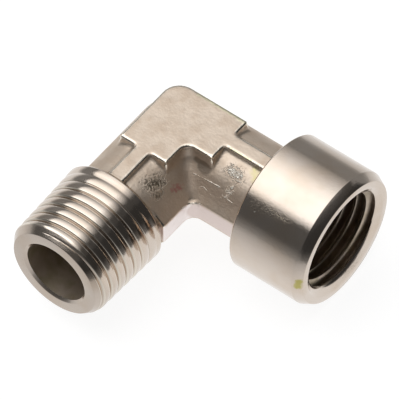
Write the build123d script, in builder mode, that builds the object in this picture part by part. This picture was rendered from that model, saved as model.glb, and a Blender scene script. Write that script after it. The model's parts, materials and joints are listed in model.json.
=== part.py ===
from build123d import *
import math
import os

# A 90 degree forged elbow with a taper male end and a threaded socket, R 1/4 by G 1/4.
# Millimetres. The origin is where the two port axes cross. The socket opens toward +X and
# the male end points toward -Y. The two dies that forged the blank part at the plane z = 0.

os.makedirs("parts", exist_ok=True)

# Quarter inch pipe thread, 19 turns to the inch
THREAD_MAJOR_D = 13.157
THREAD_MINOR_D = 11.445
GAUGE_LENGTH = 6.0
TAPER = 1 / 32

# Lengths of the two arms, from the crossing of their axes
MALE_REACH = 23.0
SOCKET_REACH = 23.0

# Forged arms between the crossing and the machined ends
ARM_R = 5.65
DRAFT_DEG = 7.0
INNER_BEND_R = 0.8

# Filled wall inside the bend, sloping out to the flat that the trimming die leaves
TRIM_PAST_ARM = 0.7
TRIM_REACH = ARM_R + TRIM_PAST_ARM
TRIM_HEIGHT = 2.85
TRIM_BEND_R = 1.5
TRIM_STOP = 0.6

# Raised flat pad on the top and on the bottom, with a narrow rib along each arm
PAD_RISE = 0.45
PAD_HALF_WIDTH = 3.25
PAD_REACH = 6.9
PAD_OUTER_R = 2.2
PAD_NOTCH_R = 1.2
RIB_HALF_WIDTH = 1.0
FOOT_R = 0.3
FORGED_EDGE_R = 0.2

# Male end
COLLAR_FROM = 12.0
COLLAR_FOOT_R = 6.4
COLLAR_CHAMFER = 0.35
LEAD_FACE_R = 5.7
LEAD_LENGTH = 1.0
WATERWAY_R = 4.0
WATERWAY_PAST = 1.5
LIP_CHAMFER = 0.3

# Socket end
SOCKET_R = 8.4
SOCKET_BACK = 13.1
SOCKET_BACK_CHAMFER = 0.2
RING_OUTER_R = 7.8
RING_INNER_R = 6.95
MOUTH_CHAMFER_LENGTH = 1.15
TAPPED_DEPTH = 9.0
DRILL_POINT_DEG = 118.0

# How far the forged arms run on inside the machined ends
RUN_IN = 1.0


def crest_radius(from_centre):
    """Radius of the taper thread's crests at a distance from the crossing."""
    from_face = MALE_REACH - from_centre
    return THREAD_MAJOR_D / 2 + (from_face - GAUGE_LENGTH) * TAPER


def point_length(radius):
    """Length of the cone that a drill of this radius leaves at the bottom of its hole."""
    return radius / math.tan(math.radians(DRILL_POINT_DEG / 2))


def arm_section():
    """Round section, drawn out to a low edge on both sides where the dies part."""
    edge = ARM_R / math.cos(math.radians(DRAFT_DEG))
    touch_out = ARM_R * math.cos(math.radians(DRAFT_DEG))
    touch_up = ARM_R * math.sin(math.radians(DRAFT_DEG))
    Circle(ARM_R)
    Polygon((edge, 0), (touch_out, touch_up), (-touch_out, touch_up),
            (-edge, 0), (-touch_out, -touch_up), (touch_out, -touch_up), align=None)


def inner_wall(side):
    """Section of the filled wall on one side of an arm: tangent to it, and flat where trimmed."""
    half = TRIM_HEIGHT / 2
    lean = math.atan2(half, TRIM_REACH) + math.acos(ARM_R / math.hypot(TRIM_REACH, half))
    touch_out = side * ARM_R * math.cos(lean)
    touch_up = ARM_R * math.sin(lean)
    Polygon((touch_out, touch_up), (side * TRIM_REACH, half),
            (side * TRIM_REACH, -half), (touch_out, -touch_up), align=None)


def in_inner_bend(edge):
    """True for the edges where the two arms meet in the inside corner."""
    ends = (edge @ 0, edge @ 1)
    return edge.center().X > 0.5 and all(abs(end.X + end.Y) < 0.01 for end in ends)


def corner_at(x, y):
    """A test for the corner of a sketch at this place."""
    return lambda corner: abs(corner.X - x) < 0.01 and abs(corner.Y - y) < 0.01


# Sizes of the pad and the ribs down at the parting plane, from where their sides slope in
pad_height = ARM_R + PAD_RISE
slope = pad_height * math.tan(math.radians(DRAFT_DEG))
pad_half = PAD_HALF_WIDTH + slope
pad_reach = PAD_REACH + slope
rib_half = RIB_HALF_WIDTH + slope
rib_to_collar = COLLAR_FROM + RUN_IN
rib_to_socket = SOCKET_BACK + RUN_IN

with BuildPart() as raised_faces:
    # Pad over the bend, L-shaped, with one arm along each port
    with BuildSketch() as pad_outline:
        with BuildLine():
            Polyline((-pad_half, -pad_reach), (pad_half, -pad_reach), (pad_half, -pad_half),
                     (pad_reach, -pad_half), (pad_reach, pad_half), (-pad_half, pad_half),
                     close=True)
        make_face()
        outer = pad_outline.vertices().filter_by(corner_at(-pad_half, pad_half))
        fillet(outer, radius=PAD_OUTER_R + slope)
        notch = pad_outline.vertices().filter_by(corner_at(pad_half, -pad_half))
        fillet(notch, radius=PAD_NOTCH_R - slope)
    extrude(amount=pad_height, taper=DRAFT_DEG)

    # Narrow ribs from the pad to the collar and to the socket
    with BuildSketch():
        Rectangle(rib_to_socket, 2 * rib_half, align=(Align.MIN, Align.CENTER))
        Rectangle(2 * rib_half, rib_to_collar, align=(Align.CENTER, Align.MAX))
    extrude(amount=pad_height, taper=DRAFT_DEG)
    flat_top = raised_faces.faces().sort_by(Axis.Z)[-1]
    fillet(flat_top.edges(), radius=FORGED_EDGE_R)
    mirror(about=Plane.XY)

with BuildPart() as elbow_body:
    # Forged arms, and the ball that joins them at the outside corner
    with BuildSketch(Plane.YZ):
        arm_section()
    extrude(amount=SOCKET_BACK + RUN_IN)
    with BuildSketch(Plane.XZ):
        arm_section()
    extrude(amount=COLLAR_FROM + RUN_IN)
    with BuildSketch(Plane.XZ):
        arm_section()
        with Locations((-ARM_R, 0)):
            Rectangle(2 * ARM_R, 4 * ARM_R, mode=Mode.SUBTRACT)
    revolve(axis=Axis.Z)

    # Filled wall inside the bend, up to the socket and to just short of the collar
    wall_to_socket = SOCKET_BACK + RUN_IN
    wall_to_collar = COLLAR_FROM - TRIM_STOP
    with BuildSketch(Plane.YZ):
        inner_wall(-1)
    extrude(amount=wall_to_socket)
    with BuildSketch(Plane.XZ):
        inner_wall(1)
    extrude(amount=wall_to_collar)
    with BuildSketch() as trimmed_outline:
        with BuildLine():
            Polyline((0, 0), (0, -wall_to_collar), (TRIM_REACH, -wall_to_collar),
                     (TRIM_REACH, -TRIM_REACH), (wall_to_socket, -TRIM_REACH),
                     (wall_to_socket, 0), close=True)
        make_face()
        bend = trimmed_outline.vertices().filter_by(corner_at(TRIM_REACH, -TRIM_REACH))
        fillet(bend, radius=TRIM_BEND_R)
    extrude(amount=TRIM_HEIGHT / 2, both=True)
    fillet(elbow_body.edges().filter_by(in_inner_bend), radius=INNER_BEND_R)

    # Pads and ribs stand out of the arms on a small foot radius
    add(raised_faces.part)
    fillet(elbow_body.edges(Select.NEW), radius=FOOT_R)

    # Turned male end: collar, taper thread crests and lead chamfer
    thread_from = COLLAR_FROM + COLLAR_CHAMFER
    thread_to = MALE_REACH - LEAD_LENGTH
    with BuildSketch():
        with BuildLine():
            Polyline((0, -COLLAR_FROM), (COLLAR_FOOT_R, -COLLAR_FROM),
                     (crest_radius(thread_from), -thread_from),
                     (crest_radius(thread_to), -thread_to),
                     (LEAD_FACE_R, -MALE_REACH), (0, -MALE_REACH), close=True)
        make_face()
    revolve(axis=Axis.Y)

    # Turned socket: a small chamfer round its back and a large one round its mouth
    mouth_chamfer_from = SOCKET_REACH - MOUTH_CHAMFER_LENGTH
    with BuildSketch():
        with BuildLine():
            Polyline((SOCKET_BACK, 0), (SOCKET_BACK, SOCKET_R - SOCKET_BACK_CHAMFER),
                     (SOCKET_BACK + SOCKET_BACK_CHAMFER, SOCKET_R), (mouth_chamfer_from, SOCKET_R),
                     (SOCKET_REACH, RING_OUTER_R), (SOCKET_REACH, 0), close=True)
        make_face()
    revolve(axis=Axis.X)

    # Tapped hole: countersunk mouth, wall at the thread's crests, and the drill's cone
    minor_r = THREAD_MINOR_D / 2
    countersink_to = SOCKET_REACH - (RING_INNER_R - minor_r)
    tapped_to = SOCKET_REACH - TAPPED_DEPTH
    with BuildSketch():
        with BuildLine():
            Polyline((SOCKET_REACH, 0), (SOCKET_REACH, RING_INNER_R),
                     (countersink_to, minor_r), (tapped_to, minor_r),
                     (tapped_to - point_length(minor_r), 0), close=True)
        make_face()
    revolve(axis=Axis.X, mode=Mode.SUBTRACT)

    # Waterway: one drilled hole from each end, each a little past the crossing
    with BuildSketch():
        with BuildLine():
            Polyline((0, -MALE_REACH), (WATERWAY_R + LIP_CHAMFER, -MALE_REACH),
                     (WATERWAY_R, LIP_CHAMFER - MALE_REACH), (WATERWAY_R, WATERWAY_PAST),
                     (0, WATERWAY_PAST + point_length(WATERWAY_R)), close=True)
        make_face()
    revolve(axis=Axis.Y, mode=Mode.SUBTRACT)
    with BuildSketch():
        with BuildLine():
            Polyline((tapped_to, 0), (tapped_to, WATERWAY_R), (-WATERWAY_PAST, WATERWAY_R),
                     (-WATERWAY_PAST - point_length(WATERWAY_R), 0), close=True)
        make_face()
    revolve(axis=Axis.X, mode=Mode.SUBTRACT)

elbow_body.part.label = "elbow_body"
export_step(elbow_body.part, "parts/elbow_body.step")
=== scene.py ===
import bmesh
import bpy
import json
import math
from mathutils import Matrix, Vector

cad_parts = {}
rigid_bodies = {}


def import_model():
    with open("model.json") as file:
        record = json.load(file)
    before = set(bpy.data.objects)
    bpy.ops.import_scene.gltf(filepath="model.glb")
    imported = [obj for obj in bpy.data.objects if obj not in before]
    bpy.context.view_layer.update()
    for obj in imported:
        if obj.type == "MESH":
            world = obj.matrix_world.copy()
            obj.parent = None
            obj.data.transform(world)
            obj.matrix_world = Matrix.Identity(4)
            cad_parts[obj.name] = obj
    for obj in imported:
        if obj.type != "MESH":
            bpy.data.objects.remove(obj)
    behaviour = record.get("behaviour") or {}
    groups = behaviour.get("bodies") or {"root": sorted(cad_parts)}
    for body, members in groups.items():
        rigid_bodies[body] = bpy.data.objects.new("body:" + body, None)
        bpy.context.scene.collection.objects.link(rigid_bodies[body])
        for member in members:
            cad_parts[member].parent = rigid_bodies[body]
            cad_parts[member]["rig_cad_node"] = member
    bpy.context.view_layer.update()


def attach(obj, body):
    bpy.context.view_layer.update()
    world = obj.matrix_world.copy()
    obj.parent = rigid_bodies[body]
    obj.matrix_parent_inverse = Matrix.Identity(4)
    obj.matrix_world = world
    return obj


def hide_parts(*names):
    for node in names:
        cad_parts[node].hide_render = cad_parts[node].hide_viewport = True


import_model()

scene = bpy.context.scene
scene.view_settings.view_transform = "Standard"

# The view: a long lens 0.7 m away, looking down at 52 degrees on the inside of the bend, with
# the male end toward the lower left and the socket toward the lower right.
azimuth = math.radians(37.9493)
elevation = math.radians(52.4460)
roll = math.radians(-0.4500)
camera_place = Vector((0.26900, -0.34159, 0.55513))
back = Vector((math.sin(azimuth) * math.cos(elevation),
               -math.cos(azimuth) * math.cos(elevation), math.sin(elevation)))
level = Vector((0, 0, 1)).cross(back).normalized()
upright = back.cross(level)
right = level * math.cos(roll) + upright * math.sin(roll)
up = upright * math.cos(roll) - level * math.sin(roll)
view = bpy.data.cameras.new("view")
view.sensor_width = 36.0
view.lens = 565.06
view.clip_start = 0.01
view.clip_end = 50.0
camera = bpy.data.objects.new("view", view)
camera.matrix_world = Matrix((
    (right.x, up.x, back.x, camera_place.x),
    (right.y, up.y, back.y, camera_place.y),
    (right.z, up.z, back.z, camera_place.z),
    (0, 0, 0, 1)))
scene.collection.objects.link(camera)
scene.camera = camera


# Nickel plate over brass. One bath covers the forged skin, the turned ends, the cut threads and
# the bores, so they share its faint clouds. They differ in how rough the metal under the plate
# is, and the tapped hole's plate is painted darker, a painted shade inside the socket.
def socket_in(tree, name, kind, value=None):
    """Gives a tree an input, with a first value where one is stated."""
    made = tree.interface.new_socket(name=name, in_out="INPUT", socket_type=kind)
    if value is not None:
        made.default_value = value


def socket_out(tree, name, kind):
    """Gives a tree an output."""
    tree.interface.new_socket(name=name, in_out="OUTPUT", socket_type=kind)


def put(tree, kind, links=None, **settings):
    """A node with its settings, and with its inputs set to values or linked to other outputs."""
    node = tree.nodes.new(kind)
    for name, value in settings.items():
        setattr(node, name, value)
    for slot, value in (links or {}).items():
        if isinstance(value, bpy.types.NodeSocket):
            tree.links.new(value, node.inputs[slot])
        else:
            node.inputs[slot].default_value = value
    return node


def calc(tree, operation, first, second=0.0, third=0.0, clamp=False):
    """The output of one math node."""
    return put(tree, "ShaderNodeMath", {0: first, 1: second, 2: third},
               operation=operation, use_clamp=clamp).outputs[0]


def blend(tree, share, first, second):
    """Two colours mixed by a share."""
    node = put(tree, "ShaderNodeMix", {0: share, 6: first, 7: second}, data_type="RGBA")
    return node.outputs[2]


def place_in(tree):
    """The place on the object, in metres."""
    return put(tree, "ShaderNodeTexCoord").outputs["Object"]


def noise_at(tree, size, detail=3.0):
    """Soft noise whose features are about this size, in metres."""
    scale = calc(tree, "DIVIDE", 1.0, size)
    return put(tree, "ShaderNodeTexNoise", {
        "Vector": place_in(tree), "Scale": scale, "Detail": detail}).outputs[0]


CLOUD_FROM, CLOUD_CONTRAST = 0.42, 3.5
plate = bpy.data.node_groups.new("plate", "ShaderNodeTree")
socket_in(plate, "Tone", "NodeSocketColor", (0.64, 0.56, 0.49, 1))
socket_in(plate, "Cloud Tone", "NodeSocketColor", (0.60, 0.50, 0.41, 1))
socket_in(plate, "Cloud Size", "NodeSocketFloat", 0.004)
socket_in(plate, "Roughness", "NodeSocketFloat", 0.2)
socket_in(plate, "Roughness Spread", "NodeSocketFloat", 0.05)
socket_in(plate, "Grain Size", "NodeSocketFloat", 0.0004)
socket_in(plate, "Grain Height", "NodeSocketFloat", 0.3)
socket_in(plate, "Swell Size", "NodeSocketFloat", 0.002)
socket_in(plate, "Swell Height", "NodeSocketFloat", 0.5)
socket_out(plate, "Color", "NodeSocketColor")
socket_out(plate, "Roughness", "NodeSocketFloat")
socket_out(plate, "Height", "NodeSocketFloat")
of_plate = put(plate, "NodeGroupInput").outputs
cloud = noise_at(plate, of_plate["Cloud Size"])
cloudy = calc(plate, "MULTIPLY_ADD", calc(plate, "SUBTRACT", cloud, CLOUD_FROM),
              CLOUD_CONTRAST, 0.0, clamp=True)
grain = noise_at(plate, of_plate["Grain Size"], 4.0)
swell = noise_at(plate, of_plate["Swell Size"], 2.0)
rougher = calc(plate, "MULTIPLY", calc(plate, "SUBTRACT", cloud, 0.5),
               of_plate["Roughness Spread"])
rise = calc(plate, "MULTIPLY_ADD", grain, of_plate["Grain Height"],
            calc(plate, "MULTIPLY", swell, of_plate["Swell Height"]))
put(plate, "NodeGroupOutput", {
    "Color": blend(plate, cloudy, of_plate["Tone"], of_plate["Cloud Tone"]),
    "Roughness": calc(plate, "ADD", of_plate["Roughness"], rougher),
    "Height": rise})

# A mark, of handling or of painted shade or reflection: a spot, or a scratch from one place to
# another, with a ragged outline
mark_or_painted_light = bpy.data.node_groups.new("mark_or_painted_light", "ShaderNodeTree")
for title in ("From", "To"):
    socket_in(mark_or_painted_light, title, "NodeSocketVector")
for title in ("Reach", "Edge", "Raggedness", "Grain Size"):
    socket_in(mark_or_painted_light, title, "NodeSocketFloat", 0.0001)
socket_out(mark_or_painted_light, "Share", "NodeSocketFloat")
of_mark = put(mark_or_painted_light, "NodeGroupInput").outputs


def aim(tree, operation, first, second, out=0):
    """One output of a vector math node."""
    return put(tree, "ShaderNodeVectorMath", {0: first, 1: second},
               operation=operation).outputs[out]


line = aim(mark_or_painted_light, "SUBTRACT", of_mark["To"], of_mark["From"])
past = aim(mark_or_painted_light, "SUBTRACT", place_in(mark_or_painted_light), of_mark["From"])
way = calc(mark_or_painted_light, "DIVIDE", aim(mark_or_painted_light, "DOT_PRODUCT", past, line, "Value"),
           aim(mark_or_painted_light, "DOT_PRODUCT", line, line, "Value"), clamp=True)
on_line = put(mark_or_painted_light, "ShaderNodeVectorMath", {0: line, "Scale": way}, operation="SCALE").outputs[0]
away = aim(mark_or_painted_light, "DISTANCE", past, on_line, "Value")
ragged = calc(mark_or_painted_light, "MULTIPLY", calc(
    mark_or_painted_light, "SUBTRACT", noise_at(mark_or_painted_light, of_mark["Grain Size"]), 0.5), of_mark["Raggedness"])
inside = calc(mark_or_painted_light, "SUBTRACT", of_mark["Reach"], calc(mark_or_painted_light, "ADD", away, ragged))
put(mark_or_painted_light, "NodeGroupOutput", {
    "Share": calc(mark_or_painted_light, "DIVIDE", inside, of_mark["Edge"], clamp=True)})

# Places and reaches on the fitting are written in millimetres
MM = 0.001

# Painted highlight on edges, which are also made glossier, and painted shade in corners: "edge" is
# how sharply the surface bends, above zero on an edge and below it in a corner
EDGE_FROM, EDGE_FULL = 0.03, 0.09
EDGE_HIGHLIGHT_TONE, EDGE_ROUGHNESS = (0.80, 0.73, 0.63, 1), 0.16
CORNER_SHADE_TONE, CORNER_SHADE_SHARE = (0.25, 0.21, 0.17, 1), 0.65


def nickel(name, bump, marks_and_painted_light=(), **values):
    """One finish of the plated metal, with the bump's depth in metres and its marks, real or of
    painted shade or reflection, in mm.
    """
    finish = bpy.data.materials.new(name)
    finish.use_nodes = True
    tree = finish.node_tree
    tree.nodes.clear()
    surface = put(tree, "ShaderNodeGroup", node_tree=plate)
    for title, value in values.items():
        surface.inputs[title.replace("_", " ")].default_value = value
    tone, dull, height = surface.outputs
    bent = put(tree, "ShaderNodeAttribute", attribute_name="edge").outputs["Fac"]
    highlight_and_gloss = put(tree, "ShaderNodeMapRange", {
        "Value": bent, "From Min": EDGE_FROM, "From Max": EDGE_FULL}).outputs[0]
    corner_shade = put(tree, "ShaderNodeMapRange", {
        "Value": bent, "From Min": -EDGE_FROM, "From Max": -EDGE_FULL}).outputs[0]
    # Painted highlight on bent edges, and painted shade in corners and in the male thread's grooves
    tone = blend(tree, highlight_and_gloss, tone, EDGE_HIGHLIGHT_TONE)
    tone = blend(tree, calc(tree, "MULTIPLY", corner_shade, CORNER_SHADE_SHARE), tone, CORNER_SHADE_TONE)
    dull = put(tree, "ShaderNodeMix", {0: highlight_and_gloss, 2: dull, 3: EDGE_ROUGHNESS}).outputs[0]
    for start, end, reach, edge, raggedness, grain_size, hue, haze, raised in marks_and_painted_light:
        spot = put(tree, "ShaderNodeGroup", {
            "From": [c * MM for c in start], "To": [c * MM for c in end], "Reach": reach * MM,
            "Edge": edge * MM, "Raggedness": raggedness * MM, "Grain Size": grain_size * MM},
            node_tree=mark_or_painted_light)
        share = spot.outputs[0]
        tone = blend(tree, share, tone, (*hue, 1))
        dull = put(tree, "ShaderNodeMix", {0: share, 2: dull, 3: haze}).outputs[0]
        height = calc(tree, "MULTIPLY_ADD", share, raised, height)
    dents = put(tree, "ShaderNodeBump", {"Strength": 1.0, "Distance": bump, "Height": height})
    metal = put(tree, "ShaderNodeBsdfPrincipled", {
        "Base Color": tone, "Metallic": 1.0, "Roughness": dull, "Normal": dents.outputs[0]})
    put(tree, "ShaderNodeOutputMaterial", {0: metal.outputs[0]})
    return finish


# Each mark, real or of painted light: start, end, reach, edge, raggedness and grain size, then
# tone, roughness and rise
DARK, PALE, BRASS = (0.19, 0.16, 0.12), (0.86, 0.82, 0.74), (0.47, 0.42, 0.15)
forged_marks_and_painted_light = [
    # Painted shade: the wall inside the bend is painted darker and browner, and darker still and
    # dull in the hollow under the pad's corner
    ((4.6, -4.9, 3.0), (12.4, -4.9, 3.0), 2.1, 1.9, 0.5, 1.2, (0.54, 0.43, 0.34), 0.52, 0.0),
    ((4.9, -3.45, 4.6), (5.7, -3.55, 4.45), 0.52, 0.28, 0.2, 0.6, (0.39, 0.32, 0.26), 0.5, 0.0),
    ((5.9, -3.7, 4.3), (6.4, -3.8, 4.25), 0.78, 0.24, 0.2, 0.6, (0.37, 0.30, 0.24), 0.5, 0.0),
    # Painted reflection: the flat, sheared by the trimming die, is painted pale like the bright
    # table it mirrors
    ((6.35, -11.8, 0.0), (6.35, -7.2, 0.0), 1.4, 0.3, 0.2, 0.5, (0.93, 0.85, 0.83), 0.4, 0.0),
    ((7.2, -6.35, 0.0), (13.2, -6.35, 0.0), 1.4, 0.3, 0.2, 0.5, (0.80, 0.69, 0.65), 0.46, 0.0),
    # A pitted patch and a smaller one near the collar, and a reddish one beside them
    ((3.1, -9.5, 4.6), (3.5, -8.4, 4.4), 0.95, 1.0, 3.6, 0.24, DARK, 0.55, -2.0),
    ((4.2, -9.8, 3.7), (4.3, -9.2, 3.6), 0.5, 0.7, 2.0, 0.3, (0.30, 0.25, 0.19), 0.5, -1.2),
    ((4.8, -7.46, 3.12), (5.0, -6.9, 3.0), 0.55, 0.5, 1.6, 0.3, (0.66, 0.36, 0.33), 0.45, 0.0),
    # Rubbed patches near the socket
    ((9.2, -2.66, 4.97), (10.2, -2.86, 4.87), 0.7, 0.8, 3.0, 0.22, PALE, 0.42, 2.2),
    ((10.1, -4.0, 3.95), (10.0, -4.7, 3.2), 0.4, 0.7, 2.4, 0.26, PALE, 0.48, 1.6),
    # Scratches on the inside of the bend, the second one bent at two places
    ((5.35, -4.63, 3.47), (8.86, -4.42, 3.55), 0.09, 0.06, 0.22, 0.3, PALE, 0.4, 1.6),
    ((5.57, -7.11, 2.28), (6.07, -5.67, 2.46), 0.05, 0.08, 0.25, 0.3, PALE, 0.45, 0.8),
    ((6.07, -5.67, 2.46), (7.01, -5.06, 2.84), 0.04, 0.08, 0.25, 0.3, PALE, 0.45, 0.8),
    ((7.01, -5.06, 2.84), (8.31, -5.3, 2.57), 0.04, 0.08, 0.25, 0.3, PALE, 0.45, 0.8),
    ((9.51, -4.86, 3.06), (11.01, -4.99, 2.92), 0.04, 0.06, 0.25, 0.3, PALE, 0.45, 0.8),
    # Brass shows through the plate at the socket's foot
    ((11.4, -1.34, 5.49), (12.6, -2.6, 5.0), 0.7, 0.7, 0.9, 0.4, (0.56, 0.50, 0.28), 0.4, 0.0),
    # Nicks where the flat's upper edge turns the bend
    ((6.47, -7.84, 1.37), (7.5, -6.62, 1.3), 0.26, 0.16, 1.3, 0.22, PALE, 0.4, 2.0),
    ((6.69, -7.38, 1.43), (6.75, -7.3, 1.42), 0.14, 0.1, 0.25, 0.12, PALE, 0.45, 1.0),
    # Yellowish wear along the pad's outer edge and along the edge of the socket's rib
    ((0.2, 3.0, 6.1), (6.6, 3.0, 6.1), 0.35, 0.35, 0.5, 0.6, (0.72, 0.67, 0.47), 0.3, 0.0),
    ((7.6, -0.9, 6.0), (10.6, -0.9, 6.0), 0.14, 0.12, 0.4, 0.3, (0.80, 0.74, 0.52), 0.3, 0.8)]
turned_marks = [
    # Scuffs on the socket's side, a bare brass spot near its mouth, a nick and a scratch
    ((14.2, -5.8, 6.1), (18.8, -5.5, 6.4), 0.5, 1.0, 3.4, 0.2, (0.50, 0.43, 0.35), 0.28, -1.2),
    ((22.4, -8.0, 0.0), (22.6, -8.0, 0.9), 0.55, 0.3, 0.5, 0.35, BRASS, 0.35, -0.5),
    ((14.95, -6.2, 5.68), (15.2, -6.0, 5.8), 0.07, 0.05, 0.1, 0.1, PALE, 0.4, 1.0),
    ((16.28, -5.2, 6.6), (18.7, -5.5, 6.3), 0.02, 0.06, 0.9, 0.12, (0.40, 0.34, 0.24), 0.4, -1.0)]
cut_marks = [
    # A nick on a crest of the male thread
    ((-2.0, -14.5, 6.29), (-1.9, -14.6, 6.3), 0.13, 0.08, 0.1, 0.1, PALE, 0.4, 1.0)]

forged_nickel = nickel("forged_nickel", 0.00004, forged_marks_and_painted_light, Tone=(0.72, 0.61, 0.505, 1),
                       Cloud_Tone=(0.67, 0.55, 0.44, 1), Roughness=0.54,
                       Roughness_Spread=0.22, Cloud_Size=0.0014, Grain_Size=0.0003,
                       Grain_Height=0.8, Swell_Size=0.0014, Swell_Height=1.4)
turned_nickel = nickel("turned_nickel", 0.000005, turned_marks, Roughness=0.16,
                       Grain_Size=0.0003, Grain_Height=1.3, Swell_Size=0.002, Swell_Height=1.2)
cut_nickel = nickel("cut_nickel", 0.000006, cut_marks, Roughness=0.15, Grain_Size=0.00015,
                    Grain_Height=0.6, Swell_Size=0.0015, Swell_Height=0.4)
bored_nickel = nickel("bored_nickel", 0.000008, Tone=(0.66, 0.57, 0.48, 1), Roughness=0.55,
                      Cloud_Tone=(0.52, 0.45, 0.32, 1), Cloud_Size=0.0015, Grain_Size=0.00015,
                      Grain_Height=0.6, Swell_Size=0.0015, Swell_Height=0.4)
# Painted shade: the tapped hole's plate is painted darker than the rest
shaded_tapped_nickel = nickel("shaded_tapped_nickel", 0.000008, Tone=(0.50, 0.42, 0.35, 1), Roughness=0.33,
                       Cloud_Tone=(0.38, 0.32, 0.23, 1), Cloud_Size=0.0015,
                       Grain_Size=0.00015, Grain_Height=0.6, Swell_Size=0.0015,
                       Swell_Height=0.4)

# The two pipe threads, quarter inch, 19 turns to the inch, right-handed. A die cuts the taper one
# on the male end, with broad crests and narrow grooves that run out toward the collar. A tap
# cuts the parallel one in the socket, which runs out before the bottom of its hole.
PITCH = 0.001337
THREAD_ANGLE = math.radians(55)
FLANK_SLOPE = 1 / math.tan(THREAD_ANGLE / 2)
AROUND = 160
ROWS_PER_TURN = 16
WELD = 0.000001

# At the run-out: the least depth of the groove's root, in pitches, and how fast it begins
LEAST_ROOT = 0.02
BEGIN_RATE = 8.0

screw = bpy.data.node_groups.new("screw_thread", "GeometryNodeTree")
for title in ("From", "To", "Radius", "Taper", "Cut", "Phase", "Crowding", "Groove Half Width",
              "Groove Depth", "Crown", "Rounding", "End Radius", "End Slope", "Inner Radius",
              "Inner Slope", "Fade From", "Fade To"):
    socket_in(screw, title, "NodeSocketFloat", 0.0)
socket_in(screw, "Turn", "NodeSocketVector")
socket_in(screw, "Finish", "NodeSocketMaterial")
socket_out(screw, "Geometry", "NodeSocketGeometry")
given = put(screw, "NodeGroupInput").outputs

# A sheet is curled up. Each of its rows follows the helix round, and the rows crowd together at
# the groove where that is asked for.
span = calc(screw, "DIVIDE", calc(screw, "SUBTRACT", given["To"], given["From"]), PITCH)
turns = calc(screw, "ADD", calc(screw, "CEIL", span), 2.0)
rows = calc(screw, "MULTIPLY_ADD", turns, float(ROWS_PER_TURN), 1.0)
sheet = put(screw, "GeometryNodeMeshGrid", {"Size X": 1.0, "Size Y": 1.0, "Vertices X": rows,
                                            "Vertices Y": AROUND + 1})
on_sheet = put(screw, "GeometryNodeInputPosition").outputs[0]
parts = put(screw, "ShaderNodeSeparateXYZ", {0: on_sheet}).outputs
along = calc(screw, "MULTIPLY", calc(screw, "ADD", parts[0], 0.5), turns)
wave = calc(screw, "SINE", calc(screw, "MULTIPLY", along, 2 * math.pi))
crowded = calc(screw, "MULTIPLY_ADD", wave, calc(
    screw, "DIVIDE", given["Crowding"], 2 * math.pi), along)
round_share = calc(screw, "ADD", parts[1], 0.5)
whole = calc(screw, "FLOOR", calc(screw, "DIVIDE", calc(
    screw, "SUBTRACT", given["From"], given["Phase"]), PITCH))
first_turn = calc(screw, "MULTIPLY_ADD", calc(screw, "SUBTRACT", whole, 1.0), PITCH,
                  given["Phase"])
climb = calc(screw, "ADD", crowded, round_share)
unbounded = calc(screw, "MULTIPLY_ADD", climb, PITCH, first_turn)
station = calc(screw, "MINIMUM", calc(screw, "MAXIMUM", unbounded, given["From"]), given["To"])

# Depth below the crest, in pitches: a crowned crest, straight flanks and a flat root, with their
# meetings rounded. Toward the run-out the root rises and the groove narrows with it.
cycle = calc(screw, "SUBTRACT", calc(screw, "DIVIDE", calc(
    screw, "SUBTRACT", station, given["Phase"]), PITCH), round_share)
nearest_crest = calc(screw, "FLOOR", calc(screw, "ADD", cycle, 0.5))
from_crest = calc(screw, "ABSOLUTE", calc(screw, "SUBTRACT", cycle, nearest_crest))
fade = calc(screw, "DIVIDE", calc(screw, "SUBTRACT", station, given["Fade From"]), calc(
    screw, "SUBTRACT", given["Fade To"], given["Fade From"]), clamp=True)
root = calc(screw, "MULTIPLY", given["Groove Depth"], fade)
shallower = calc(screw, "SUBTRACT", given["Groove Depth"], root)
into_groove = calc(screw, "ADD", calc(screw, "SUBTRACT", from_crest, 0.5),
                   given["Groove Half Width"])
flank = calc(screw, "MULTIPLY_ADD", into_groove, FLANK_SLOPE, calc(
    screw, "MULTIPLY", shallower, -1.0))
crown = calc(screw, "MULTIPLY", calc(screw, "MULTIPLY", from_crest, from_crest), given["Crown"])
crest = calc(screw, "SMOOTH_MAX", flank, crown, given["Rounding"])
form = calc(screw, "SMOOTH_MIN", crest, calc(screw, "MAXIMUM", root, LEAST_ROOT),
            given["Rounding"])
begun = calc(screw, "MULTIPLY", fade, BEGIN_RATE, clamp=True)
depth = calc(screw, "MULTIPLY", calc(screw, "MULTIPLY", form, PITCH), begun)

# The blank's own surface with its two chamfers at the end, and the groove cut into it
blank_radius = calc(screw, "SUBTRACT", given["Radius"], calc(screw, "MULTIPLY", calc(
    screw, "SUBTRACT", station, given["From"]), given["Taper"]))
to_end = calc(screw, "SUBTRACT", given["To"], station)
chamfer = calc(screw, "MULTIPLY_ADD", to_end, given["End Slope"], calc(
    screw, "MULTIPLY", given["Cut"], given["End Radius"]))
inner_chamfer = calc(screw, "MULTIPLY_ADD", to_end, given["Inner Slope"], calc(
    screw, "MULTIPLY", given["Cut"], given["Inner Radius"]))
groove = calc(screw, "SUBTRACT", calc(screw, "MULTIPLY", given["Cut"], blank_radius), depth)
radius_there = calc(screw, "MULTIPLY", calc(screw, "MINIMUM", calc(
    screw, "MINIMUM", chamfer, inner_chamfer), groove), given["Cut"])
angle = calc(screw, "MULTIPLY", round_share, 2 * math.pi)
curled = put(screw, "ShaderNodeCombineXYZ", {
    0: calc(screw, "MULTIPLY", radius_there, calc(screw, "COSINE", angle)),
    1: calc(screw, "MULTIPLY", radius_there, calc(screw, "SINE", angle)), 2: station})
moved = put(screw, "GeometryNodeSetPosition", {
    "Geometry": sheet.outputs["Mesh"], "Position": curled.outputs[0]})
sewn = put(screw, "GeometryNodeMergeByDistance", {"Geometry": moved.outputs[0], "Distance": WELD})
laid = put(screw, "GeometryNodeTransform", {
    "Geometry": sewn.outputs[0], "Rotation": given["Turn"]})
real = put(screw, "GeometryNodeRealizeInstances", {"Geometry": laid.outputs[0]})
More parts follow.
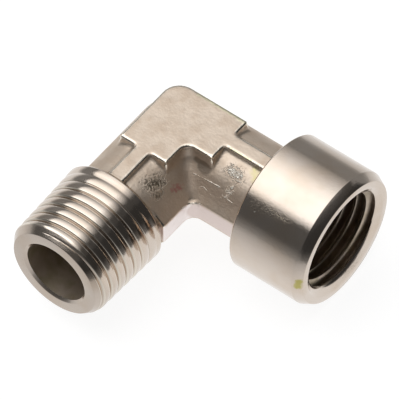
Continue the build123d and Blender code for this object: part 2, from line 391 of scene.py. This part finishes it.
coated = put(screw, "GeometryNodeSetMaterial", {
    "Geometry": real.outputs[0], "Material": given["Finish"]})
put(screw, "NodeGroupOutput", {"Geometry": coated.outputs[0]})


def grown(tree, name, values):
    """A plain mesh from a tree, with the tree's inputs given by their names."""
    maker = bpy.data.objects.new(name, bpy.data.meshes.new(name))
    scene.collection.objects.link(maker)
    growing = maker.modifiers.new("grow", "NODES")
    growing.node_group = tree
    for item in tree.interface.items_tree:
        if item.item_type == "SOCKET" and item.in_out == "INPUT" and item.name in values:
            growing[item.identifier] = values[item.name]
    mesh = bpy.data.meshes.new_from_object(
        maker.evaluated_get(bpy.context.evaluated_depsgraph_get()))
    bpy.data.objects.remove(maker)
    return mesh


# The taper thread: its gauge plane lies 6 mm from the end face. Cut is 1 for a groove cut inward.
# It has only one chamfer, so its inner radius is set past its crests, where it changes nothing.
MALE_REACH = 0.023
GAUGE_LENGTH = 0.006
GAUGE_RADIUS = 0.0065785
MALE_FROM = 0.0124
MALE_TO = 0.02295
TAPER = 1 / 32
male_crest = GAUGE_RADIUS + (MALE_REACH - MALE_FROM - GAUGE_LENGTH) * TAPER
male_thread = grown(screw, "male_thread", {
    "From": MALE_FROM, "To": MALE_TO, "Radius": male_crest, "Taper": TAPER, "Cut": 1.0,
    "Phase": 0.01218, "Crowding": 0.7, "Groove Half Width": 0.18, "Groove Depth": 0.31,
    "Crown": 0.4, "Rounding": 0.03, "End Radius": 0.005736, "End Slope": 0.72,
    "Inner Radius": 0.009, "Inner Slope": 0.0, "Fade From": MALE_FROM, "Fade To": 0.0165,
    "Turn": (math.pi / 2, 0, 0), "Finish": cut_nickel})

# The parallel thread. Cut is -1 for a groove cut outward, into the wall of the tapped hole.
TAPPED_FROM = 0.01405
TAPPED_TO = 0.02295
MINOR_RADIUS = 0.0057225
female_thread = grown(screw, "female_thread", {
    "From": TAPPED_FROM, "To": TAPPED_TO, "Radius": MINOR_RADIUS, "Taper": 0.0, "Cut": -1.0,
    "Phase": 0.0135, "Crowding": 0.0, "Groove Half Width": 0.417, "Groove Depth": 0.64,
    "Crown": 0.0, "Rounding": 0.04, "End Radius": 0.00686, "End Slope": 1.733,
    "Inner Radius": 0.006427, "Inner Slope": 0.597, "Fade From": TAPPED_FROM, "Fade To": 0.016,
    "Turn": (math.pi / 2, 0, math.pi / 2), "Finish": shaded_tapped_nickel})

# The elbow itself: forged as one blank between two dies, then drilled, turned and threaded at
# both ends. Its forged skin is softened as a die leaves it, and its turned ends are made finer.
# Distances from the crossing and from an axis, in mm, and the order of the mesh's finishes.
COLLAR_BACK = 12.0
LIP_FROM = 22.7
SOCKET_BACK = 13.1
SOCKET_RADIUS = 8.4
ARM_RADIUS = 6.0
ARM_REACH = 6.5
WATERWAY_RADIUS = 4.0
TAPPED_BOTTOM = 14.0
COUNTERSINK_FROM = 22.35
HAIR = 0.001
FORGED, TURNED, CUT, BORED, TAPPED = range(5)

node = next(o for o in scene.objects if o.get("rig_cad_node") == "elbow_body")
body = bmesh.new()
body.from_mesh(node.data)
bmesh.ops.remove_doubles(body, verts=body.verts, dist=WELD)
bmesh.ops.recalc_face_normals(body, faces=body.faces)
solid = bpy.data.meshes.new("solid")
body.to_mesh(solid)


def joined_to(start):
    """All the vertices that edges join to this one."""
    found, fresh = {start}, [start]
    while fresh:
        near = [edge.other_vert(vert) for vert in fresh for edge in vert.link_edges]
        fresh = [vert for vert in dict.fromkeys(near) if vert not in found]
        found.update(fresh)
    return found


# The forged skin stops a little before the turned faces, so that no softening reaches them. It
# is smoothed in steps: a few all over, then more inside the bend and at the pad's foot.
SKIN_STOP = 0.35
SKIN_GRID = 0.17
SMOOTHING = 0.5
SOFT_STEPS, BEND_STEPS, FOOT_STEPS = 6, 60, 110
BEND_FROM, BEND_REACH = 2.5, 2.2
PAD_CORNERS, FOOT_REACH = ((6.5, -4.3), (4.3, -6.5)), 1.9
BLEND_LOW, BLEND_HIGH, BLEND_EDGE = 1.6, 5.6, 0.8


def softened(mesh):
    """The forged skin of the solid, with its edges and corners as soft as the dies leave them."""
    blank = bpy.data.objects.new("blank", mesh)
    scene.collection.objects.link(blank)
    even = blank.modifiers.new("even_faces", "REMESH")
    even.mode = "VOXEL"
    even.voxel_size = SKIN_GRID * MM
    soft = blank.modifiers.new("soft_edges", "SMOOTH")
    soft.factor = SMOOTHING
    soft.iterations = SOFT_STEPS
    skin = bmesh.new()
    skin.from_mesh(bpy.data.meshes.new_from_object(
        blank.evaluated_get(bpy.context.evaluated_depsgraph_get())))
    bpy.data.objects.remove(blank)
    for limit, out in (((0, -(COLLAR_BACK - SKIN_STOP) * MM, 0), (0, -1, 0)),
                       (((SOCKET_BACK - SKIN_STOP) * MM, 0, 0), (1, 0, 0))):
        bmesh.ops.bisect_plane(skin, geom=skin.verts[:] + skin.edges[:] + skin.faces[:],
                               dist=1e-8, plane_co=limit, plane_no=out, clear_outer=True)
    outside = joined_to(max(skin.verts, key=lambda vert: vert.co.z))
    bmesh.ops.delete(skin, geom=[v for v in skin.verts if v not in outside], context="VERTS")
    finished = bpy.data.meshes.new("skin")
    skin.to_mesh(finished)
    skin.free()
    return finished


def bend_share(x, y, z):
    """How much of the blend inside the bend a place gets, in mm from the crossing."""
    if x < BEND_FROM or y > -BEND_FROM or not BLEND_LOW < abs(z) < BLEND_HIGH:
        return 0.0
    off_miter = abs(x + y) / math.sqrt(2)
    return max(0.0, 1 - off_miter / BEND_REACH) * min(1.0, (abs(z) - BLEND_LOW) / BLEND_EDGE)


def foot_share(x, y, z):
    """How much of the blend at the foot of the pad's corners beside its notch a place gets."""
    off_corner = min(math.dist((x, y), corner) for corner in PAD_CORNERS)
    nearness = min(1.0, (FOOT_REACH - off_corner) / BLEND_EDGE)
    return max(0.0, nearness) * max(0.0, min(1.0, (BLEND_HIGH - abs(z)) / BLEND_EDGE))


def blended(mesh, share_at, steps):
    """The skin smoothed on in some places, by the share that each place gets."""
    blank = bpy.data.objects.new("blank", mesh)
    scene.collection.objects.link(blank)
    group = blank.vertex_groups.new(name="blend")
    for vert in mesh.vertices:
        share = share_at(*(c / MM for c in vert.co))
        if share > 0:
            group.add([vert.index], share, "REPLACE")
    soft = blank.modifiers.new("soft_blend", "SMOOTH")
    soft.factor = SMOOTHING
    soft.iterations = steps
    soft.vertex_group = "blend"
    smooth = bpy.data.meshes.new_from_object(
        blank.evaluated_get(bpy.context.evaluated_depsgraph_get()))
    bpy.data.objects.remove(blank)
    return smooth


skin_mesh = blended(softened(solid), bend_share, BEND_STEPS)
skin_mesh = blended(skin_mesh, foot_share, FOOT_STEPS)


def turned_away(face):
    """True for the faces of the turned ends, which are made again below."""
    x, y, z = face.calc_center_median() / MM
    male = y < -COLLAR_BACK - HAIR and math.hypot(x, z) > WATERWAY_RADIUS + HAIR
    back_face = x > SOCKET_BACK + HAIR and math.hypot(y, z) > ARM_REACH
    return male or back_face or x > TAPPED_BOTTOM + HAIR


# What stays of the solid is its drilled holes, and the softened skin takes the old one's place
gone = [face for face in body.faces if turned_away(face)]
bmesh.ops.delete(body, geom=gone, context="FACES")
loose = [vert for vert in body.verts if not vert.link_faces]
bmesh.ops.delete(body, geom=loose, context="VERTS")
plain_skin = joined_to(max(body.verts, key=lambda vert: vert.co.z))
bmesh.ops.delete(body, geom=list(plain_skin), context="VERTS")
for face in body.faces:
    face.material_index = BORED
body.from_mesh(skin_mesh)


def open_rims(mesh):
    """The open rims of a mesh, each as a list of its vertices in order."""
    edges = dict.fromkeys(edge for edge in mesh.edges if edge.is_boundary)
    rims = []
    while edges:
        edge = next(iter(edges))
        del edges[edge]
        rim = [edge.verts[0], edge.verts[1]]
        while True:
            step = next((e for e in rim[-1].link_edges if e in edges), None)
            if step is None:
                break
            del edges[step]
            rim.append(step.other_vert(rim[-1]))
        rims.append(rim[:-1] if rim[0] == rim[-1] else rim)
    return rims


forged_rims = open_rims(body)


def male_point(along_axis, radius, turn):
    """A place round the male end's axis, by its distance from the crossing and its radius."""
    return Vector((radius * math.cos(turn), -along_axis, radius * math.sin(turn)))


def socket_point(along_axis, radius, turn):
    """A place round the socket's axis, by its distance from the crossing and its radius."""
    return Vector((along_axis, radius * math.cos(turn), radius * math.sin(turn)))


def male_angle(vert):
    """The angle of a vertex round the male end's axis."""
    return math.atan2(vert.co.z, vert.co.x)


def socket_angle(vert):
    """The angle of a vertex round the socket's axis."""
    return math.atan2(vert.co.z, vert.co.y)


def turned(profile, point):
    """Rings of a turned surface, through a profile of (distance along the axis, radius) in mm."""
    rings = []
    for distance, radius in profile:
        rings.append([body.verts.new(point(distance * MM, radius * MM, 2 * math.pi * k / AROUND))
                      for k in range(AROUND)])
    for one, other in zip(rings, rings[1:]):
        for k in range(AROUND):
            after = (k + 1) % AROUND
            body.faces.new((one[k], one[after], other[after], other[k])).material_index = TURNED
    return rings


def add_mesh(mesh, material):
    """Adds a plain mesh to the body, all in one finish, by its place in the list of finishes."""
    before = len(body.faces)
    body.from_mesh(mesh)
    body.faces.ensure_lookup_table()
    for order in range(before, len(body.faces)):
        body.faces[order].material_index = material


def zip_rims(rim, ring, angle_of):
    """Closes the strip between two rims round the same axis with triangles."""
    first_rim = sorted(rim, key=angle_of)
    second_rim = sorted(ring, key=angle_of)
    one, other = 0, 0
    while one < len(first_rim) or other < len(second_rim):
        here = first_rim[one % len(first_rim)]
        there = second_rim[other % len(second_rim)]
        next_here = angle_of(first_rim[(one + 1) % len(first_rim)]) + (
            2 * math.pi if one + 1 >= len(first_rim) else 0)
        next_there = angle_of(second_rim[(other + 1) % len(second_rim)]) + (
            2 * math.pi if other + 1 >= len(second_rim) else 0)
        move_here = one < len(first_rim) and (other >= len(second_rim) or next_here <= next_there)
        if move_here:
            one += 1
            third = first_rim[one % len(first_rim)]
        else:
            other += 1
            third = second_rim[other % len(second_rim)]
        body.faces.new((here, there, third)).material_index = TURNED


def rim_near(along_axis, radius, axis):
    """The open rim nearest to this place."""
    def error(rim):
        co = rim[0].co
        if axis == "male":
            return abs(-co.y - along_axis * MM) + abs(math.hypot(co.x, co.z) - radius * MM)
        return abs(co.x - along_axis * MM) + abs(math.hypot(co.y, co.z) - radius * MM)
    return min(forged_rims, key=error)


def run_up(rim, point_of):
    """Carries a rim of the skin square up to the turned face behind it, and returns its new rim."""
    there = [body.verts.new(point_of(vert.co)) for vert in rim]
    for k, vert in enumerate(rim):
        after = (k + 1) % len(rim)
        body.faces.new((vert, rim[after], there[after], there[k])).material_index = FORGED
    return there


# Profiles of the turned ends, with two or three close points where a corner is rounded
CREST_AT_COLLAR = male_crest / MM
collar = turned([
    (COLLAR_BACK, 6.395), (12.012, 6.425), (12.04, 6.455), (12.29, 6.665), (12.33, 6.70),
    (12.36, CREST_AT_COLLAR - 0.004), (12.4, CREST_AT_COLLAR)], male_point)
lead = turned([
    (22.95, 5.736), (22.98, 5.712), (22.995, 5.68), (23.0, 5.64), (23.0, 4.36), (22.99, 4.315),
    (22.965, 4.28), (22.73, 4.03), (22.715, 4.012)], male_point)
back_and_mouth = turned([
    (SOCKET_BACK, 8.19), (13.108, 8.225), (13.13, 8.26), (13.24, 8.37), (13.275, 8.392),
    (13.33, SOCKET_RADIUS), (21.78, SOCKET_RADIUS), (21.84, 8.396), (21.90, 8.373),
    (22.92, 7.842), (22.975, 7.80), (23.0, 7.74), (23.0, 7.01), (22.985, 6.935),
    (22.95, 6.86)], socket_point)
add_mesh(male_thread, CUT)
add_mesh(female_thread, TAPPED)
bottom = turned([(14.05, MINOR_RADIUS / MM), (14.02, MINOR_RADIUS / MM)], socket_point)
male_rim = run_up(rim_near(COLLAR_BACK - SKIN_STOP, ARM_RADIUS, "male"),
                  lambda co: (co.x, -COLLAR_BACK * MM, co.z))
socket_rim = run_up(rim_near(SOCKET_BACK - SKIN_STOP, ARM_RADIUS, "socket"),
                    lambda co: (SOCKET_BACK * MM, co.y, co.z))
zip_rims(male_rim, collar[0], male_angle)
zip_rims(rim_near(LIP_FROM, WATERWAY_RADIUS, "male"), lead[-1], male_angle)
zip_rims(socket_rim, back_and_mouth[0], socket_angle)
zip_rims(rim_near(TAPPED_BOTTOM, MINOR_RADIUS / MM, "socket"), bottom[-1], socket_angle)
RIM_WELD = 0.0000012
bmesh.ops.remove_doubles(body, verts=body.verts, dist=RIM_WELD)
bmesh.ops.recalc_face_normals(body, faces=body.faces)
for face in body.faces:
    face.smooth = True
    if face.material_index == TAPPED and face.calc_center_median().x > COUNTERSINK_FROM * MM:
        face.material_index = TURNED

# How sharply the forged skin and the male thread bend at each vertex, for the painted highlight
# on their edges and the painted shade in their corners. The foot of the pad's corners gets neither.
SHARP = math.radians(32)
edge_layer = body.verts.layers.float.new("edge")
body.normal_update()
for vert in body.verts:
    if all(face.material_index in (FORGED, CUT) for face in vert.link_faces):
        around = [edge.other_vert(vert).co for edge in vert.link_edges]
        middle = sum(around, Vector()) / len(around)
        reach = sum((co - vert.co).length for co in around) / len(around)
        left_plain = foot_share(*(c / MM for c in vert.co))
        vert[edge_layer] = (vert.co - middle).dot(vert.normal) / reach * (1 - left_plain)
for edge in body.edges:
    edge.smooth = edge.calc_face_angle(0.0) < SHARP

elbow_mesh = bpy.data.meshes.new("elbow")
body.to_mesh(elbow_mesh)
body.free()
for finish in (forged_nickel, turned_nickel, cut_nickel, bored_nickel, shaded_tapped_nickel):
    elbow_mesh.materials.append(finish)
elbow = bpy.data.objects.new("elbow", elbow_mesh)
scene.collection.objects.link(elbow)
weighted = elbow.modifiers.new("even_normals", "WEIGHTED_NORMAL")
weighted.keep_sharp = True
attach(elbow, "root")
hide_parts("elbow_body")

# The studio: a white table top just under the fitting, a large soft light overhead, and dark
# cards round the table that only the metal shows.
FLOOR_GAP = 0.01
FLOOR_HEIGHT = -(SOCKET_RADIUS + FLOOR_GAP) * MM


def panel(name, corners, material):
    """A flat four-sided panel of the studio."""
    mesh = bpy.data.meshes.new(name)
    mesh.from_pydata(corners, [], [(0, 1, 2, 3)])
    mesh.materials.append(material)
    made = bpy.data.objects.new(name, mesh)
    scene.collection.objects.link(made)
    return made


def ramp(tree, value, stops):
    """The brightness at a place, read off a ramp of (place, brightness) stops."""
    first, last = stops[0][0], stops[-1][0]
    spread = put(tree, "ShaderNodeMapRange", {
        "Value": value, "From Min": first, "From Max": last})
    curve = put(tree, "ShaderNodeValToRGB", {0: spread.outputs[0]})
    band = curve.color_ramp
    while len(band.elements) > 1:
        band.elements.remove(band.elements[0])
    for order, (place, bright) in enumerate(stops):
        share = (place - first) / (last - first)
        element = band.elements[0] if order == 0 else band.elements.new(share)
        element.position = share
        element.color = (bright, bright, bright, 1)
    return curve.outputs[0]


# Table top: pale and matt. It is lit from below too, so it stays white right round the fitting
# while the fitting's shadow still shows on it. The metal sees it fade toward the front and the
# back: how bright it is mirrored is given at places along y, in metres.
TABLE_HALF = 3
TABLE_TONE = 0.9
TABLE_ROUGHNESS = 0.9
LIT_SHARE = 0.76
LIT_STRENGTH = 1.15
MIRRORED = [(-0.10, 0.42), (-0.070, 0.50), (-0.034, 0.68), (-0.020, 0.86), (-0.012, 1.0),
            (0.025, 0.97), (0.036, 0.84), (0.07, 0.72), (0.12, 0.60)]
table_white = bpy.data.materials.new("table_white")
table_white.use_nodes = True
table_tree = table_white.node_tree
table_ray = put(table_tree, "ShaderNodeLightPath").outputs
matt = table_tree.nodes["Principled BSDF"]
matt.inputs["Base Color"].default_value = (TABLE_TONE, TABLE_TONE, TABLE_TONE, 1)
matt.inputs["Roughness"].default_value = TABLE_ROUGHNESS
matt.inputs["Specular IOR Level"].default_value = 0.0
on_table = put(table_tree, "ShaderNodeSeparateXYZ", {0: place_in(table_tree)})
mirrored = ramp(table_tree, on_table.outputs[1], MIRRORED)
shown = put(table_tree, "ShaderNodeMix", {
    0: table_ray["Is Glossy Ray"], 2: LIT_STRENGTH, 3: mirrored})
lit = put(table_tree, "ShaderNodeEmission", {"Color": (1, 1, 1, 1), "Strength": shown.outputs[0]})
looked_at = calc(table_tree, "MULTIPLY", calc(
    table_tree, "MAXIMUM", table_ray["Is Camera Ray"], table_ray["Is Transmission Ray"]),
    LIT_SHARE)
lit_share = calc(table_tree, "MAXIMUM", looked_at, table_ray["Is Glossy Ray"])
both = put(table_tree, "ShaderNodeMixShader", {
    0: lit_share, 1: matt.outputs[0], 2: lit.outputs[0]})
table_tree.links.new(both.outputs[0], table_tree.nodes["Material Output"].inputs[0])
panel("table", [(-TABLE_HALF, -TABLE_HALF, FLOOR_HEIGHT), (TABLE_HALF, -TABLE_HALF, FLOOR_HEIGHT),
                (TABLE_HALF, TABLE_HALF, FLOOR_HEIGHT), (-TABLE_HALF, TABLE_HALF, FLOOR_HEIGHT)],
      table_white)


def glow(name, strength):
    """A material that gives off plain light, by a strength or by a node's output."""
    material = bpy.data.materials.new(name)
    material.use_nodes = True
    tree = material.node_tree
    tree.nodes.clear()
    light = put(tree, "ShaderNodeEmission")
    put(tree, "ShaderNodeOutputMaterial", {0: light.outputs[0]})
    if callable(strength):
        tree.links.new(strength(tree), light.inputs["Strength"])
    else:
        light.inputs["Strength"].default_value = strength
    return material


# Overhead light: one large panel, which the metal sees and the camera doesn't. Its brightness is
# given at places from front to back and from left to right, in heights of the light.
LIGHT_HEIGHT = 0.4
FRONT_TO_BACK = [(place * LIGHT_HEIGHT, bright) for place, bright in (
    (-0.95, 0.15), (-0.80, 0.5), (-0.60, 0.95), (0.0, 1.0), (0.35, 0.8), (0.61, 0.57),
    (0.95, 0.37), (1.43, 0.23), (1.70, 0.18))]
LEFT_TO_RIGHT = [(place * LIGHT_HEIGHT, bright) for place, bright in (
    (-1.60, 0.3), (-1.25, 1.0), (0.12, 1.0), (0.30, 0.5), (0.55, 0.1))]
BRIGHTEST = 1.9


def soft_light(tree):
    """Brightest over the middle, fading toward the back and at the edges."""
    on_panel = put(tree, "ShaderNodeSeparateXYZ", {0: place_in(tree)})
    deep = ramp(tree, on_panel.outputs[1], FRONT_TO_BACK)
    wide = ramp(tree, on_panel.outputs[0], LEFT_TO_RIGHT)
    return calc(tree, "MULTIPLY", calc(tree, "MULTIPLY", deep, wide), BRIGHTEST)


light_front, light_back = FRONT_TO_BACK[0][0], FRONT_TO_BACK[-1][0]
light_left, light_right = LEFT_TO_RIGHT[0][0], LEFT_TO_RIGHT[-1][0]
overhead = panel("overhead_light", [
    (light_left, light_front, LIGHT_HEIGHT), (light_left, light_back, LIGHT_HEIGHT),
    (light_right, light_back, LIGHT_HEIGHT), (light_right, light_front, LIGHT_HEIGHT)],
    glow("soft_light", soft_light))
overhead.visible_camera = False

# Dark cards, two rings of them: a low one close to the fitting and a tall one far from it, with
# a lid. Each near card picks up some light from the table at its foot.
NEAR_FRONT, NEAR_RIGHT, NEAR_BACK, NEAR_LEFT = -0.11, 0.07, 0.15, -0.25
FAR = 0.75
LID_HEIGHT = 0.42
LID_TONE = 0.07
near_corners = [(NEAR_LEFT, NEAR_FRONT), (NEAR_RIGHT, NEAR_FRONT), (NEAR_RIGHT, NEAR_BACK),
                (NEAR_LEFT, NEAR_BACK)]
far_corners = [(-FAR, -FAR), (FAR, -FAR), (FAR, FAR), (-FAR, FAR)]


def card_light(foot, tone, tall):
    """A card's brightness: from its foot's, over a third of its height, to its own."""
    def read(tree):
        up_card = put(tree, "ShaderNodeSeparateXYZ", {0: place_in(tree)}).outputs[2]
        return ramp(tree, up_card, [
            (FLOOR_HEIGHT, foot), (FLOOR_HEIGHT + (tall - FLOOR_HEIGHT) / 3, tone), (tall, tone)])
    return read


# Each side: the brightness at the near card's foot, that of both cards, and the near card's height
cards = []
for order, (side, foot, tone, near_top) in enumerate((
        ("front", 0.34, 0.10, 0.09), ("right", 0.2, 0.04, 0.07),
        ("back", 0.4, 0.28, 0.07), ("left", 0.68, 0.24, 0.10))):
    for ring, corners, tall, light in (
            ("near", near_corners, near_top, card_light(foot, tone, near_top)),
            ("far", far_corners, LID_HEIGHT, tone)):
        (x1, y1), (x2, y2) = corners[order], corners[(order + 1) % 4]
        card_name = f"{ring}_{side}_card"
        cards.append(panel(card_name, [
            (x1, y1, FLOOR_HEIGHT), (x2, y2, FLOOR_HEIGHT), (x2, y2, tall), (x1, y1, tall)],
            glow(card_name, light)))
cards.append(panel("lid_card", [(x, y, LID_HEIGHT) for x, y in far_corners],
                   glow("lid_card", LID_TONE)))
for card in cards:
    card.visible_camera = False
    card.visible_diffuse = False
    card.visible_shadow = False
    card.visible_transmission = False

# The room past the cards: white where it is seen, and a faint even light on the table
ROOM_LIGHT = 0.35
room = bpy.data.worlds.new("room")
room.use_nodes = True
room_tree = room.node_tree
room_tree.nodes.clear()
room_ray = put(room_tree, "ShaderNodeLightPath").outputs
seen = calc(room_tree, "MAXIMUM", room_ray["Is Camera Ray"], calc(
    room_tree, "MAXIMUM", room_ray["Is Glossy Ray"], room_ray["Is Transmission Ray"]))
room_strength = calc(room_tree, "MULTIPLY_ADD", seen, 1.0 - ROOM_LIGHT, ROOM_LIGHT)
air = put(room_tree, "ShaderNodeBackground", {"Color": (1, 1, 1, 1), "Strength": room_strength})
put(room_tree, "ShaderNodeOutputWorld", {0: air.outputs[0]})
scene.world = room
